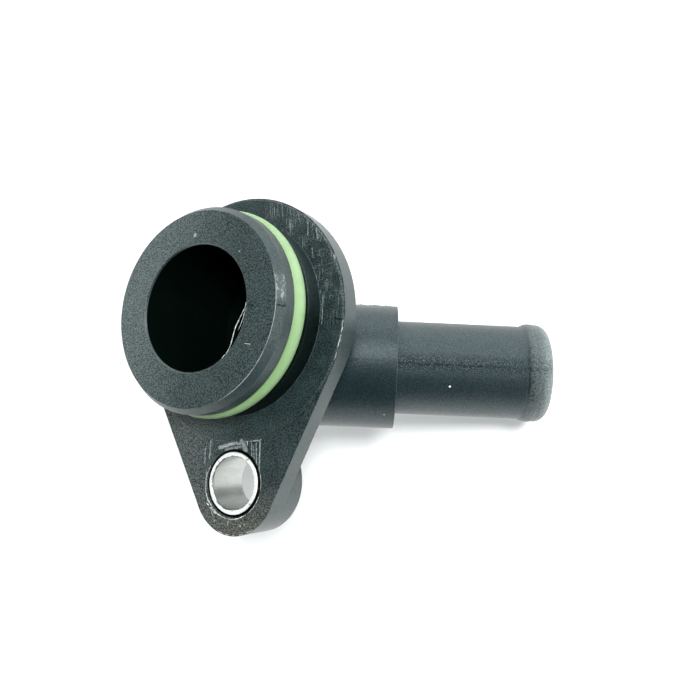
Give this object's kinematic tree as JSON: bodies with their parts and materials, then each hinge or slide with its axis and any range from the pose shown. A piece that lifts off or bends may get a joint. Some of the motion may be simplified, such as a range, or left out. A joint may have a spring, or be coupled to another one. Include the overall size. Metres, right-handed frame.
{
  "type": "coolant flange",
  "caption": "Moulded coolant flange with an O-ring spigot, a bolt lobe with a metal sleeve, and an angled hose pipe.",
  "frame": {"origin": "on the spigot's axis, in the plane of the mounting face that meets the housing", "axes": "+Z out of the spigot towards the housing, the bolt lobe towards -Y, the hose pipe behind the plate towards +X and -Z"},
  "size_m": [0.0691, 0.0578, 0.0526],
  "materials": {
    "plastic": "charcoal glass-filled plastic with a fine spark-eroded grain, matte, paler where its edges are rubbed",
    "seal": "pale green seal rubber, smooth and slightly satin",
    "sleeve_metal": "bright turned rim, dull grey inside"
  },
  "bodies": {
    "root": {"flange_body": "plastic", "o_ring": "seal", "bolt_sleeve": "sleeve_metal"}
  },
  "joints": []
}
